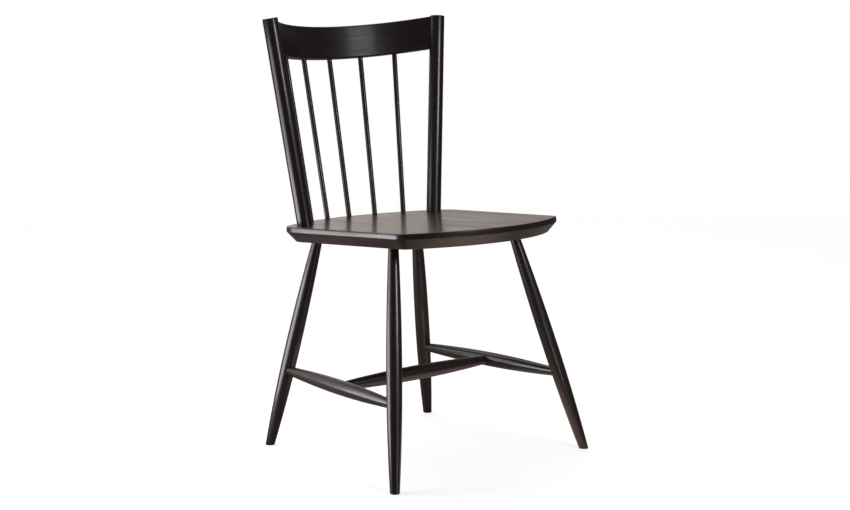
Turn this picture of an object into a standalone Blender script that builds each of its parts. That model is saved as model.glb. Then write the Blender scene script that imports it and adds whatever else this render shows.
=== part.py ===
"""A spindle-back dining chair in dark stained wood, built as separate turned and sawn pieces.

Units are metres and +Z is up. The chair faces -Y, so the sitter's right hand is at -X. The seat tilts back, the
legs and posts splay, and the crest rail follows an arc that leans back: the pieces meet at compound angles, so
each one is placed along the line between its two joints and each socket is its tenon grown by one clearance.
"""

import math

import bmesh
import bpy
from mathutils import Matrix, Vector

# Fit of every joint
CLEARANCE = 0.0003
MOUTH = 0.012
SAME_PLACE = 0.000001

# Seat, in its own frame: XY on the flat top, the origin midway between the lines through its sharp corners
SEAT_FRONT_HEIGHT = 0.4635
SEAT_TILT = math.radians(3.3)
SEAT_SIDE_DEPTH = 0.327
SEAT_FRONT_WIDTH = 0.398
SEAT_BACK_WIDTH = 0.424
SEAT_FRONT_BOW = 0.072
SEAT_BACK_BOW = 0.0755
SEAT_FRONT_CORNER_RADIUS = 0.030
SEAT_BACK_CORNER_RADIUS = 0.048
SEAT_LEAST_CORNER_RADIUS = 0.002
SEAT_THICKNESS = 0.030
SEAT_BAND = 0.010
SEAT_UNDERCUT = 0.018
SEAT_EDGE_ROUND = 0.002

# Legs: sockets set in from the seat's sharp corners, feet out from the sockets
FRONT_SOCKET_INSET = 0.048
FRONT_SOCKET_SETBACK = 0.0742
FRONT_FOOT_SPLAY = 0.0909
FRONT_FOOT_REACH = 0.1108
BACK_SOCKET_INSET = 0.0853
BACK_SOCKET_SETBACK = 0.0057
BACK_FOOT_SPLAY = 0.0798
BACK_FOOT_REACH = 0.0575
LEG_TENON_DIAMETER = 0.0195
LEG_TENON_DEPTH = 0.019
LEG_NECK = 0.005
LEG_BELLY_DIAMETER = 0.0294
LEG_BELLY_SHARE = 0.48
LEG_FOOT_DIAMETER = 0.0178

# Stretchers, level, with their centre lines meeting those of the pieces they enter
STRETCHER_HEIGHT = 0.1495
STRETCHER_BELLY_DIAMETER = 0.0287
STRETCHER_END_DIAMETER = 0.0175
STRETCHER_NECK = 0.003
STRETCHER_REACH_PAST_CENTRE = 0.004

# Back posts, set in from the seat's sharp back corners, leaning outward and backward
POST_DIAMETER = 0.0297
POST_SIDE_INSET = 0.0469
POST_CORNER_INSET = 0.0053
POST_SPLAY = math.radians(6.66)
POST_RAKE = math.radians(6.09)
POST_TOP_HEIGHT = 0.8360
POST_TOP_BEVEL = 0.0012
POST_TENON_DIAMETER = 0.022
POST_TENON_DEPTH = 0.020

# Crest rail: a band of constant height along an arc, which leans back and meets the posts' centre lines
RAIL_SET_DOWN = 0.0004
RAIL_HEIGHT = 0.0651
RAIL_THICKNESS = 0.020
RAIL_BOW = 0.1019
RAIL_LEAN = math.radians(12.4)
RAIL_EDGE_ROUND = 0.003
RAIL_DOWEL_DIAMETER = 0.008
RAIL_DOWEL_SPACING = 0.032
RAIL_DOWEL_POST_DEPTH = 0.012
RAIL_DOWEL_RAIL_DEPTH = 0.018

# Spindles: bases on an arc inside the seat's bowed back edge, tops on the rail's own arc
SPINDLE_DIAMETER = 0.010
SPINDLE_PAIRS = 2
SPINDLE_EDGE_INSET = 0.010
SPINDLE_ARC_RADIUS = 0.249
SPINDLE_BASE_STEP = math.radians(14.15)
SPINDLE_TOP_STEP = math.radians(15.95)
SPINDLE_SEAT_DEPTH = 0.013
SPINDLE_RAIL_DEPTH = 0.015

# Facets
LEG_SIDES = 24
POST_SIDES = 32
SPINDLE_SIDES = 16
DOWEL_SIDES = 12
SWELL_STATIONS = 12
BOW_SEGMENTS = 12
CORNER_SEGMENTS = 8
EDGE_SEGMENTS = 3
RAIL_SEGMENTS = 26

# Finish of the stained and lacquered wood, and of the bare wood inside the joints
STAIN_COLOUR = (0.016, 0.013, 0.013, 1.0)
STAIN_ROUGHNESS = 0.32
BARE_COLOUR = (0.52, 0.36, 0.21, 1.0)
BARE_ROUGHNESS = 0.7


def clear_scene():
    for obj in list(bpy.data.objects):
        bpy.data.objects.remove(obj, do_unlink=True)


def wood_material(name, colour, roughness):
    material = bpy.data.materials.new(name)
    material.use_nodes = True
    shader = material.node_tree.nodes["Principled BSDF"]
    shader.inputs["Base Color"].default_value = colour
    shader.inputs["Roughness"].default_value = roughness
    shader.inputs["Metallic"].default_value = 0.0
    return material


def arc_radius(half_chord, depth):
    return (half_chord**2 + depth**2) / (2 * depth)


def frame_along(start, end):
    """The frame at start whose Z axis points at end."""
    turn = (end - start).to_track_quat("Z", "Y")
    return Matrix.LocRotScale(start, turn, None)


def add_piece(root, name, bm, frame, colour=STAIN_COLOUR, roughness=STAIN_ROUGHNESS):
    """Turns the mesh into a named object that is placed by frame and carried by root."""
    mesh = bpy.data.meshes.new(name)
    bm.to_mesh(mesh)
    bm.free()
    mesh.shade_smooth()
    mesh.set_sharp_from_angle(angle=math.radians(35))
    mesh.materials.append(wood_material(name + "_wood", colour, roughness))
    piece = bpy.data.objects.new(name, mesh)
    bpy.context.scene.collection.objects.link(piece)
    piece.parent = root
    piece.matrix_local = frame
    return piece


def turned(profile, sides):
    """A solid of revolution about Z through (height, radius) stations, with flat ends."""
    bm = bmesh.new()
    heights = [height for height, _ in profile]
    outline = [(0.0, heights[0])] + [(radius, height) for height, radius in profile] + [(0.0, heights[-1])]
    points = [bm.verts.new((radius, 0.0, height)) for radius, height in outline]
    edges = [bm.edges.new(pair) for pair in zip(points, points[1:])]
    bmesh.ops.spin(
        bm, geom=points + edges, axis=(0, 0, 1), cent=(0, 0, 0), angle=math.tau, steps=sides, use_merge=True
    )
    bmesh.ops.remove_doubles(bm, verts=bm.verts, dist=SAME_PLACE)
    bmesh.ops.recalc_face_normals(bm, faces=bm.faces)
    return bm


def lay_station_on_plane(bm, height, frame, plane_point, plane_normal):
    """Slides the points at one station along the piece's own axis until they lie on a plane."""
    to_local = frame.inverted()
    point = to_local @ plane_point
    normal = to_local.to_3x3() @ plane_normal
    for vert in bm.verts:
        if abs(vert.co.z - height) < SAME_PLACE:
            vert.co.z += (point - vert.co).dot(normal) / normal.z


def swell(share, belly_share, start_radius, belly_radius, end_radius):
    """The radius of a turning that swells from both ends to its belly along two parabolas."""
    if share < belly_share:
        fall = (belly_share - share) / belly_share
        return belly_radius - (belly_radius - start_radius) * fall**2
    fall = (share - belly_share) / (1 - belly_share)
    return belly_radius - (belly_radius - end_radius) * fall**2


def swollen_stations(low, high, belly_share, start_radius, belly_radius, end_radius):
    stations = []
    for step in range(SWELL_STATIONS + 1):
        share = step / SWELL_STATIONS
        radius = swell(share, belly_share, start_radius, belly_radius, end_radius)
        stations.append((low + (high - low) * share, radius))
    return stations


def add_cutter(root, name, start, end, diameter, sides):
    """A hidden round bar for a socket: the tenon between start and end, grown by the clearance."""
    length = (end - start).length
    radius = diameter / 2 + CLEARANCE
    bm = turned([(0.0, radius), (length + CLEARANCE, radius)], sides)
    cutter = add_piece(root, name, bm, frame_along(start, end))
    cutter.hide_render = True
    cutter.display_type = "WIRE"
    return cutter


def cut(piece, cutter):
    modifier = piece.modifiers.new(cutter.name, "BOOLEAN")
    modifier.operation = "DIFFERENCE"
    modifier.solver = "EXACT"
    modifier.object = cutter


def loft(bm, rings, closed):
    """Faces between successive rings of points. An open run of rings is capped at its ends."""
    loops = [[bm.verts.new(point) for point in ring] for ring in rings]
    for low, high in zip(loops, loops[1:]):
        for index in range(len(low)):
            after = (index + 1) % len(low)
            bm.faces.new((low[index], low[after], high[after], high[index]))
    if not closed:
        bm.faces.new(loops[0])
        bm.faces.new(loops[-1])
    bmesh.ops.recalc_face_normals(bm, faces=bm.faces)


def arc(centre, radius, start, end, segments):
    """Points on an arc from one angle to another."""
    points = []
    for step in range(segments + 1):
        angle = start + (end - start) * step / segments
        points.append(centre + radius * Vector((math.cos(angle), math.sin(angle))))
    return points


def angle_of(vector):
    return math.atan2(vector.y, vector.x)


def corner_centre(bow_centre, bow_radius, corner, along, outward, radius):
    """Where a corner arc sits that touches a bowed edge from inside and a straight side."""
    start = corner - radius * outward - bow_centre
    half = -start.dot(along)
    reach = math.sqrt(half**2 - start.length_squared + (bow_radius - radius) ** 2)
    return bow_centre + start + (half + reach) * along


def seat_outline(inset):
    """The seat's plan, drawn in by inset: bowed front and back, straight sides, round corners."""
    front_corner = Vector((SEAT_FRONT_WIDTH / 2, -SEAT_SIDE_DEPTH / 2))
    back_corner = Vector((SEAT_BACK_WIDTH / 2, SEAT_SIDE_DEPTH / 2))
    along = (back_corner - front_corner).normalized()
    outward = Vector((along.y, -along.x))
    front_radius = arc_radius(front_corner.x, SEAT_FRONT_BOW)
    back_radius = arc_radius(back_corner.x, SEAT_BACK_BOW)
    front_centre = Vector((0, front_corner.y - SEAT_FRONT_BOW + front_radius))
    back_centre = Vector((0, back_corner.y + SEAT_BACK_BOW - back_radius))
    front_radius -= inset
    back_radius -= inset
    front_corner -= inset * outward
    back_corner -= inset * outward
    front_round = max(SEAT_FRONT_CORNER_RADIUS - inset, SEAT_LEAST_CORNER_RADIUS)
    back_round = max(SEAT_BACK_CORNER_RADIUS - inset, SEAT_LEAST_CORNER_RADIUS)
    front_turning = corner_centre(front_centre, front_radius, front_corner, -along, outward, front_round)
    back_turning = corner_centre(back_centre, back_radius, back_corner, along, outward, back_round)
    front_angle = angle_of(front_turning - front_centre)
    back_angle = angle_of(back_turning - back_centre)
    side_angle = angle_of(outward)
    right = arc(front_centre, front_radius, -math.pi / 2, front_angle, BOW_SEGMENTS)
    right += arc(front_turning, front_round, front_angle, side_angle, CORNER_SEGMENTS)[1:]
    right += arc(back_turning, back_round, side_angle, back_angle, CORNER_SEGMENTS)
    right += arc(back_centre, back_radius, back_angle, math.pi / 2, BOW_SEGMENTS)[1:]
    left = [Vector((-point.x, point.y)) for point in reversed(right[1:-1])]
    return right + left


def seat_levels():
    """The seat's edge from the top face down, as (depth, inset) pairs."""
    levels = []
    for step in range(EDGE_SEGMENTS + 1):
        turn = math.pi / 2 * step / EDGE_SEGMENTS
        depth = SEAT_EDGE_ROUND * (1 - math.cos(turn))
        levels.append((depth, SEAT_EDGE_ROUND * (1 - math.sin(turn))))
    levels.append((SEAT_BAND, 0.0))
    levels.append((SEAT_THICKNESS, SEAT_UNDERCUT))
    return levels


def seat_frame():
    front_reach = SEAT_SIDE_DEPTH / 2 + SEAT_FRONT_BOW
    height = SEAT_FRONT_HEIGHT - front_reach * math.sin(SEAT_TILT)
    return Matrix.Translation((0, 0, height)) @ Matrix.Rotation(-SEAT_TILT, 4, "X")


def add_seat(root):
    rings = []
    for depth, inset in seat_levels():
        rings.append([(point.x, point.y, -depth) for point in seat_outline(inset)])
    bm = bmesh.new()
    loft(bm, rings, closed=False)
    return add_piece(root, "seat", bm, seat_frame())


def leg_lines(side):
    """The front and the back leg's lines, each from its foot centre to its centre on the seat's underside."""
    front_x = side * (SEAT_FRONT_WIDTH / 2 - FRONT_SOCKET_INSET)
    front = seat_frame() @ Vector((front_x, FRONT_SOCKET_SETBACK - SEAT_SIDE_DEPTH / 2, -SEAT_THICKNESS))
    front_foot = Vector((front.x + side * FRONT_FOOT_SPLAY, front.y - FRONT_FOOT_REACH, 0))
    back_x = side * (SEAT_BACK_WIDTH / 2 - BACK_SOCKET_INSET)
    back = seat_frame() @ Vector((back_x, SEAT_SIDE_DEPTH / 2 + BACK_SOCKET_SETBACK, -SEAT_THICKNESS))
    back_foot = Vector((back.x + side * BACK_FOOT_SPLAY, back.y + BACK_FOOT_REACH, 0))
    return (front_foot, front), (back_foot, back)


def add_leg(root, seat, name, line):
    foot, socket = line
    frame = frame_along(foot, socket)
    length = (socket - foot).length
    tenon_radius = LEG_TENON_DIAMETER / 2
    profile = swollen_stations(
        0.0, length - LEG_NECK, LEG_BELLY_SHARE, LEG_FOOT_DIAMETER / 2, LEG_BELLY_DIAMETER / 2, tenon_radius
    )
    profile.append((length + LEG_TENON_DEPTH, tenon_radius))
    bm = turned(profile, LEG_SIDES)
    lay_station_on_plane(bm, 0.0, frame, Vector((0, 0, 0)), Vector((0, 0, 1)))
    leg = add_piece(root, name, bm, frame)
    along = (socket - foot).normalized()
    tip = socket + along * LEG_TENON_DEPTH
    cut(seat, add_cutter(root, name + "_socket", socket - along * MOUTH, tip, LEG_TENON_DIAMETER, LEG_SIDES))
    return leg


def point_at_height(line, height):
    low, high = line
    return low + (high - low) * (height - low.z) / (high.z - low.z)


def add_stretcher(root, name, ends, carriers, carrier_diameter):
    """A double-tapered bar between two centre lines, with a round tenon in a blind socket at each end."""
    start, end = ends
    along = (end - start).normalized()
    length = (end - start).length
    shoulder = carrier_diameter / 2 + STRETCHER_NECK
    end_radius = STRETCHER_END_DIAMETER / 2
    profile = [(-STRETCHER_REACH_PAST_CENTRE, end_radius)]
    profile += swollen_stations(
        shoulder, length - shoulder, 0.5, end_radius, STRETCHER_BELLY_DIAMETER / 2, end_radius
    )
    profile.append((length + STRETCHER_REACH_PAST_CENTRE, end_radius))
    stretcher = add_piece(root, name, turned(profile, LEG_SIDES), frame_along(start, end))
    mouth = carrier_diameter / 2 + MOUTH
    for carrier, centre, outward in ((carriers[0], start, -along), (carriers[1], end, along)):
        tip = centre + outward * STRETCHER_REACH_PAST_CENTRE
        cutter_name = f"{name}_socket_in_{carrier.name}"
        cutter = add_cutter(root, cutter_name, centre - outward * mouth, tip, STRETCHER_END_DIAMETER, LEG_SIDES)
        cut(carrier, cutter)
    return stretcher


def post_line(side):
    """The post's centre on the seat's top and at its upper end."""
    across = side * (SEAT_BACK_WIDTH / 2 - POST_SIDE_INSET)
    base = seat_frame() @ Vector((across, SEAT_SIDE_DEPTH / 2 - POST_CORNER_INSET, 0))
    rise = POST_TOP_HEIGHT - base.z
    return base, base + rise * Vector((side * math.tan(POST_SPLAY), math.tan(POST_RAKE), 1))


def add_post(root, seat, name, side):
    base, top = post_line(side)
    frame = frame_along(base, top)
    length = (top - base).length
    tenon_radius = POST_TENON_DIAMETER / 2
    profile = [
        (-POST_TENON_DEPTH, tenon_radius),
        (0.0, tenon_radius),
        (0.0, POST_DIAMETER / 2),
        (length - POST_TOP_BEVEL, POST_DIAMETER / 2),
        (length, POST_DIAMETER / 2 - POST_TOP_BEVEL),
    ]
    bm = turned(profile, POST_SIDES)
    seat_up = seat_frame().to_3x3() @ Vector((0, 0, 1))
    lay_station_on_plane(bm, 0.0, frame, base + seat_up * CLEARANCE, seat_up)
    post = add_piece(root, name, bm, frame)
    along = (top - base).normalized()
    tip = base - along * POST_TENON_DEPTH
    cut(seat, add_cutter(root, name + "_socket", base + along * MOUTH, tip, POST_TENON_DIAMETER, LEG_SIDES))
    return post


def rail_meeting():
    """Where the rail's centre line meets the left post's. The rail's top edge is just below the post's end."""
    half_rise = RAIL_HEIGHT / 2 * math.cos(RAIL_LEAN)
    return point_at_height(post_line(1), POST_TOP_HEIGHT - RAIL_SET_DOWN - half_rise)


def rail_frame():
    """XY holds the rail's arc at mid-height, with X through both posts' centre lines."""
    meeting = rail_meeting()
    origin = Vector((0, meeting.y, meeting.z))
    return Matrix.Translation(origin) @ Matrix.Rotation(-RAIL_LEAN, 4, "X")


def rail_arc():
    """The radius of the rail's centre line, and its angle from the middle to a post's centre line."""
    half_chord = rail_meeting().x
    radius = arc_radius(half_chord, RAIL_BOW)
    return radius, math.asin(half_chord / radius)


def rail_point(angle, offset, height):
    """A point in the rail's frame, offset behind the centre line at this angle from the middle."""
    radius, _ = rail_arc()
    reach = radius + offset
    return Vector((reach * math.sin(angle), RAIL_BOW - radius + reach * math.cos(angle), height))


def rail_section():
    """The rail's rounded cross-section as (offset behind the centre line, height) pairs."""
    inner_half = RAIL_THICKNESS / 2 - RAIL_EDGE_ROUND
    inner_rise = RAIL_HEIGHT / 2 - RAIL_EDGE_ROUND
    section = []
    for quarter, (side, level) in enumerate(((1, 1), (-1, 1), (-1, -1), (1, -1))):
        centre = Vector((side * inner_half, level * inner_rise))
        start = quarter * math.pi / 2
        section += arc(centre, RAIL_EDGE_ROUND, start, start + math.pi / 2, EDGE_SEGMENTS)
    return section


def add_rail(root, posts):
    """The crest rail, its ends coped round the posts."""
    section = rail_section()
    _, end_angle = rail_arc()
    rings = []
    for step in range(RAIL_SEGMENTS + 1):
        angle = end_angle * (2 * step / RAIL_SEGMENTS - 1)
        rings.append([rail_point(angle, offset, height) for offset, height in section])
    bm = bmesh.new()
    loft(bm, rings, closed=False)
    rail = add_piece(root, "crest_rail", bm, rail_frame())
    for post, side in posts:
        base, top = post_line(side)
        above = top + (top - base).normalized() * MOUTH
        cut(rail, add_cutter(root, post.name + "_cope", base, above, POST_DIAMETER, POST_SIDES))
    return rail


def add_rail_dowel(root, rail, post, name, side, level):
    """A loose dowel that runs from the rail's end into the post, square to the cope."""
    radius, end_angle = rail_arc()
    meeting_angle = side * (end_angle - POST_DIAMETER / 2 / radius)
    meeting = rail_point(meeting_angle, 0.0, level * RAIL_DOWEL_SPACING / 2)
    outward = side * Vector((math.cos(meeting_angle), -math.sin(meeting_angle), 0))
    frame = rail_frame()
    start = frame @ (meeting - outward * RAIL_DOWEL_RAIL_DEPTH)
    end = frame @ (meeting + outward * RAIL_DOWEL_POST_DEPTH)
    bm = turned([(0.0, RAIL_DOWEL_DIAMETER / 2), ((end - start).length, RAIL_DOWEL_DIAMETER / 2)], DOWEL_SIDES)
    add_piece(root, name, bm, frame_along(start, end), BARE_COLOUR, BARE_ROUGHNESS)
    along = (end - start).normalized()
    cutter = add_cutter(root, name + "_socket", start - along * CLEARANCE, end, RAIL_DOWEL_DIAMETER, DOWEL_SIDES)
    cut(rail, cutter)
    cut(post, cutter)


def spindle_line(index):
    """The spindle's centre on the seat's top and on the rail's underside. Index 0 is the middle one."""
    angle = index * SPINDLE_BASE_STEP
    middle = SEAT_SIDE_DEPTH / 2 + SEAT_BACK_BOW - SPINDLE_EDGE_INSET
    back = middle - SPINDLE_ARC_RADIUS * (1 - math.cos(angle))
    base = seat_frame() @ Vector((SPINDLE_ARC_RADIUS * math.sin(angle), back, 0))
    top = rail_frame() @ rail_point(index * SPINDLE_TOP_STEP, 0.0, -RAIL_HEIGHT / 2)
    return base, top


def add_spindle(root, seat, rail, name, index):
    base, top = spindle_line(index)
    along = (top - base).normalized()
    start = base - along * SPINDLE_SEAT_DEPTH
    end = top + along * SPINDLE_RAIL_DEPTH
    radius = SPINDLE_DIAMETER / 2
    bm = turned([(0.0, radius), ((end - start).length, radius)], SPINDLE_SIDES)
    add_piece(root, name, bm, frame_along(start, end))
    cutter = add_cutter(
        root, name + "_socket", start - along * CLEARANCE, end, SPINDLE_DIAMETER, SPINDLE_SIDES
    )
    cut(seat, cutter)
    cut(rail, cutter)


def centre_on_origin(root):
    """Moves the chair along Y until its box is centred over the origin. Its feet are on the floor already."""
    bpy.context.view_layer.update()
    depths = []
    for piece in root.children:
        if not piece.hide_render:
            depths += [(piece.matrix_world @ vert.co).y for vert in piece.data.vertices]
    root.location.y -= (min(depths) + max(depths)) / 2


def main():
    clear_scene()
    root = bpy.data.objects.new("chair", None)
    bpy.context.scene.collection.objects.link(root)
    seat = add_seat(root)
    side_bars = []
    middles = []
    for side, hand in ((-1, "right"), (1, "left")):
        front_line, back_line = leg_lines(side)
        front = add_leg(root, seat, f"leg_front_{hand}", front_line)
        back = add_leg(root, seat, f"leg_back_{hand}", back_line)
        ends = (point_at_height(back_line, STRETCHER_HEIGHT), point_at_height(front_line, STRETCHER_HEIGHT))
        bar = add_stretcher(root, f"side_stretcher_{hand}", ends, (back, front), LEG_BELLY_DIAMETER)
        side_bars.append(bar)
        middles.append((ends[0] + ends[1]) / 2)
    add_stretcher(root, "cross_stretcher", middles, side_bars, STRETCHER_BELLY_DIAMETER)
    posts = []
    for side, hand in ((-1, "right"), (1, "left")):
        posts.append((add_post(root, seat, f"back_post_{hand}", side), side))
    rail = add_rail(root, posts)
    for post, side in posts:
        hand = "left" if side > 0 else "right"
        for level, place in ((-1, "lower"), (1, "upper")):
            add_rail_dowel(root, rail, post, f"rail_dowel_{hand}_{place}", side, level)
    for number, index in enumerate(range(-SPINDLE_PAIRS, SPINDLE_PAIRS + 1), start=1):
        add_spindle(root, seat, rail, f"spindle_{number}", index)
    centre_on_origin(root)


main()
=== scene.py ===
"""A spindle-back dining chair in near-black stained wood, finished and lit for a studio picture.

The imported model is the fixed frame. Each turned piece takes its centre line from the solid that it
stands for, and the fields of the classes below hold the sizes across those lines. Lengths are in
metres and +Z is up. The chair faces -Y, so the sitter's right hand is at -X.
"""

from __future__ import annotations

import logging
import math
from collections.abc import Callable, Hashable, Iterable, Iterator
from contextlib import contextmanager
from dataclasses import dataclass
from enum import Enum
from functools import partial

import bmesh
import bpy
import numpy as np
from mathutils import Matrix, Vector


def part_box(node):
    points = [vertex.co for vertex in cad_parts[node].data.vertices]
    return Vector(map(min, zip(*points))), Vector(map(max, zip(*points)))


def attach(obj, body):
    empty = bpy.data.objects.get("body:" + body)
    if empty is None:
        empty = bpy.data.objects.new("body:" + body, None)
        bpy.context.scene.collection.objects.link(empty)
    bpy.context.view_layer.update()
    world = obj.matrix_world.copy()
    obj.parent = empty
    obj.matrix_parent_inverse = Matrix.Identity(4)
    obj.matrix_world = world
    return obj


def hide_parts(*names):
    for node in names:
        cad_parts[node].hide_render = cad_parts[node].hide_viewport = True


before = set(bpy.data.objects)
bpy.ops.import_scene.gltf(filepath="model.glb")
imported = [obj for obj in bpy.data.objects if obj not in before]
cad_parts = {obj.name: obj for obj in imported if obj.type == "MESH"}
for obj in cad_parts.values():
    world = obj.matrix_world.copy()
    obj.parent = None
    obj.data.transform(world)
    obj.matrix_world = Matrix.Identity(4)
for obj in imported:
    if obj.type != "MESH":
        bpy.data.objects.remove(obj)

LOG = logging.getLogger("chair")
BODY = "root"
CLEARANCE = 0.0002
SAME_PLACE = 0.000002
DECIMALS = 6
SMOOTH_ANGLE = math.radians(40)
EDGE_ANGLE = math.radians(9)
END_DEPTH = 0.007
SOCKET_SIDES = 48
SUPPORT = 0.003
POINT_SIZE = 0.01
FACING = 0.999
UPRIGHT = 0.01
SLANT_SLACK = 0.02
SEED_STEP = 0.37
UP = Vector((0.0, 0.0, 1.0))
WHITE = (1.0, 1.0, 1.0)

Pair = tuple[float, float]
Triple = tuple[float, float, float]
Profile = list[Pair]
Hole = tuple["Line", float]
Object = bpy.types.Object
Node = bpy.types.Node
Socket = bpy.types.NodeSocket
Feed = Socket | float | Triple
Shape = Callable[[Object], None]
Unwrap = Callable[[Vector], Vector]


class Hand(Enum):
    """The sitter's hands, each with its side of X = 0."""

    RIGHT = -1
    LEFT = 1

    @property
    def word(self) -> str:
        """The word for this hand in the names of pieces."""
        return self.name.lower()


class Row(Enum):
    """The front and the back pair of legs."""

    FRONT = "front"
    BACK = "back"


class Slot(Enum):
    """The record's material slots."""

    STAINED = "dark_stained_wood"
    BARE = "bare_wood"


class Kind(Enum):
    """The parts of a mesh that a test can pick, each with its list in the mesh."""

    FACE = "faces"
    EDGE = "edges"


@dataclass(frozen=True)
class Line:
    """The straight centre line of a turned piece."""

    start: Vector
    end: Vector

    @property
    def length(self) -> float:
        """The distance between the two ends."""
        return (self.end - self.start).length

    @property
    def along(self) -> Vector:
        """The direction from start to end, one metre long."""
        return (self.end - self.start).normalized()

    def at_height(self, height: float) -> Vector:
        """Finds where the line, or the line drawn out, passes a height above the floor."""
        return self.start + self.along * (height - self.start.z) / self.along.z

    def first(self, length: float) -> Line:
        """The part of the line up to a distance from its start."""
        return Line(self.start, self.start + self.along * length)

    def drawn_out(self, extra: float) -> Line:
        """The line, drawn out past its end."""
        return Line(self.start, self.end + self.along * extra)

    def frame(self) -> Matrix:
        """The frame at the start whose Z axis runs along the line."""
        return Matrix.LocRotScale(self.start, self.along.to_track_quat("Z", "Y"), None)


def centre_line(node: str) -> Line:
    """Reads a turned piece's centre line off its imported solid.

    Args:
        node: the solid's name.

    Returns:
        The line between the solid's farthest points along its axis, the lower end first.
    """
    points = np.array([vert.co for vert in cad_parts[node].data.vertices])
    middle = points.mean(axis=0)
    axis = np.linalg.svd(points - middle, full_matrices=False)[2][0]
    reach = (points - middle) @ axis
    ends = []
    for near in (reach < reach.min() + END_DEPTH, reach > reach.max() - END_DEPTH):
        ring = np.unique(points[near].round(DECIMALS), axis=0)
        ends.append(ring.mean(axis=0))
    ends.sort(key=lambda point: point[2])
    axis = (ends[1] - ends[0]) / np.linalg.norm(ends[1] - ends[0])
    reach = (points - ends[0]) @ axis
    return Line(Vector(ends[0] + axis * reach.min()), Vector(ends[0] + axis * reach.max()))


def select_only(piece: Object) -> None:
    """Selects one object and makes it the active one.

    Args:
        piece: the object.
    """
    bpy.ops.object.select_all(action="DESELECT")
    piece.select_set(True)
    bpy.context.view_layer.objects.active = piece


@contextmanager
def editing(piece: Object) -> Iterator[None]:
    """Opens one mesh in edit mode with everything selected, and closes it afterwards.

    Args:
        piece: the object to edit.
    """
    select_only(piece)
    bpy.ops.object.mode_set(mode="EDIT")
    bpy.ops.mesh.select_all(action="SELECT")
    yield
    bpy.ops.object.mode_set(mode="OBJECT")


def select_where(piece: Object, kind: Kind, wanted: Callable) -> None:
    """Selects the parts of one kind that pass a test, and nothing else, in the mesh open for editing.

    Args:
        piece: the object in edit mode.
        kind: the kind of part.
        wanted: the test, which takes a part and says whether it passes.
    """
    bpy.ops.mesh.select_mode(type=kind.name)
    bpy.ops.mesh.select_all(action="DESELECT")
    bm = bmesh.from_edit_mesh(piece.data)
    for part in getattr(bm, kind.value):
        if wanted(part):
            part.select_set(True)
    bmesh.update_edit_mesh(piece.data)


def select_whole() -> None:
    """Selects the whole mesh that is open for editing."""
    bpy.ops.mesh.select_all(action="SELECT")


def weld() -> None:
    """Joins the points of the open mesh that share a place, and turns its faces outward."""
    select_whole()
    bpy.ops.mesh.remove_doubles(threshold=SAME_PLACE)
    bpy.ops.mesh.normals_make_consistent(inside=False)


def add_plane(name: str, size: float, middle: Vector, turn: Triple = (0.0, 0.0, 0.0)) -> Object:
    """Adds a square, and leaves its place in its mesh.

    Args:
        name: its name.
        size: its side.
        middle: where its middle is.
        turn: its Euler angles.

    Returns:
        The square.
    """
    bpy.ops.object.select_all(action="DESELECT")
    bpy.ops.mesh.primitive_plane_add(size=size, location=middle, rotation=turn)
    plane = bpy.context.object
    plane.name = plane.data.name = name
    bpy.ops.object.transform_apply(location=True, rotation=True, scale=True)
    return plane


def on_level(level: float) -> Callable[[bmesh.types.BMEdge], bool]:
    """Makes the test for the edges at one height."""
    return lambda edge: all(abs(vert.co.z - level) < SAME_PLACE for vert in edge.verts)


def place(piece: Object, where: Matrix) -> None:
    """Moves a piece from its own frame to its place, and leaves the place in its mesh.

    Args:
        piece: the piece, modelled in its own frame.
        where: that frame's place on the chair.
    """
    select_only(piece)
    piece.matrix_world = where
    bpy.ops.object.transform_apply(location=True, rotation=True, scale=True)


def apply_modifier(piece: Object, modifier: bpy.types.Modifier) -> None:
    """Applies one modifier, with its settings, to its piece."""
    select_only(piece)
    bpy.ops.object.modifier_apply(modifier=modifier.name)


def drill(piece: Object, holes: Iterable[Hole]) -> None:
    """Cuts round holes.

    Args:
        piece: the piece that gets the holes.
        holes: the centre line and the diameter of each, without the clearance.
    """
    for line, diameter in holes:
        bpy.ops.object.select_all(action="DESELECT")
        bpy.ops.mesh.primitive_cylinder_add(
            vertices=SOCKET_SIDES,
            radius=diameter / 2 + CLEARANCE,
            depth=line.length,
            location=(line.start + line.end) / 2,
            rotation=(line.end - line.start).to_track_quat("Z", "Y").to_euler(),
        )
        tool = bpy.context.object
        modifier = piece.modifiers.new("hole", "BOOLEAN")
        modifier.operation = "DIFFERENCE"
        modifier.solver = "EXACT"
        modifier.object = tool
        apply_modifier(piece, modifier)
        bpy.data.objects.remove(tool, do_unlink=True)


class Pen:
    """Draws an outline as by hand: one point is extruded in straight runs and spun round centres.

    The mesh stays open for editing until the outline is lifted off.
    """

    def __init__(self, name: str, start: Vector) -> None:
        """Sets the first point down.

        Args:
            name: the name of the object that holds the outline.
            start: the first point.
        """
        self.piece = add_plane(name, POINT_SIZE, start)
        self.tip = start.copy()
        bpy.ops.object.mode_set(mode="EDIT")
        bpy.ops.mesh.select_mode(type="VERT")
        select_whole()
        bpy.ops.mesh.merge(type="CENTER")

    def line_to(self, point: Vector) -> None:
        """Extrudes the last point in a straight run that ends at a point."""
        bpy.ops.mesh.extrude_vertices_move(TRANSFORM_OT_translate={"value": point - self.tip})
        self.tip = point.copy()

    def arc_about(self, centre: Vector, turn: float, steps: int) -> None:
        """Spins the last point round a centre, anticlockwise from above, in so many chords."""
        # The spin operator counts its angle clockwise.
        bpy.ops.mesh.spin(steps=steps, angle=-turn, center=centre, axis=UP)
        self.tip = centre + Matrix.Rotation(turn, 3, "Z") @ (self.tip - centre)

    def lift(self) -> Object:
        """Closes the mesh and gives the object that holds the outline."""
        bpy.ops.object.mode_set(mode="OBJECT")
        return self.piece


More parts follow.
